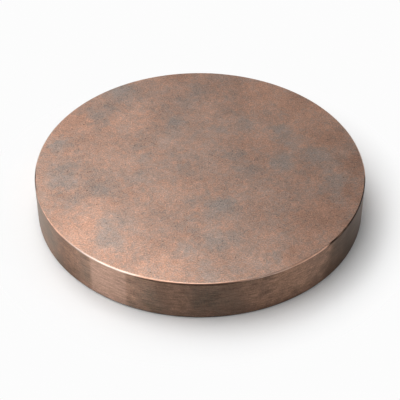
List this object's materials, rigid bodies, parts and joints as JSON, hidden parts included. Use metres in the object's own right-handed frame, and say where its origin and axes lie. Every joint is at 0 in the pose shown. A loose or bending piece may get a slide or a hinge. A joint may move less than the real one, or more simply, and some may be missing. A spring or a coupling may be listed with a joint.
{
  "type": "sputtering target",
  "caption": "Solid round copper disc with flat faces, a turned rim and eased corners, used as the source plate in a sputter coater.",
  "frame": {"origin": "centre of the back face, the face that the disc lies on and that seats on a cathode or backing plate", "axes": "+Z is the disc's axis, out of the front face; X and Y are any two directions across the round disc"},
  "size_m": [0.0508, 0.0508, 0.0068],
  "materials": {
    "tarnished_copper": "satin"
  },
  "bodies": {
    "root": {"target_disc": "tarnished_copper"}
  },
  "joints": []
}
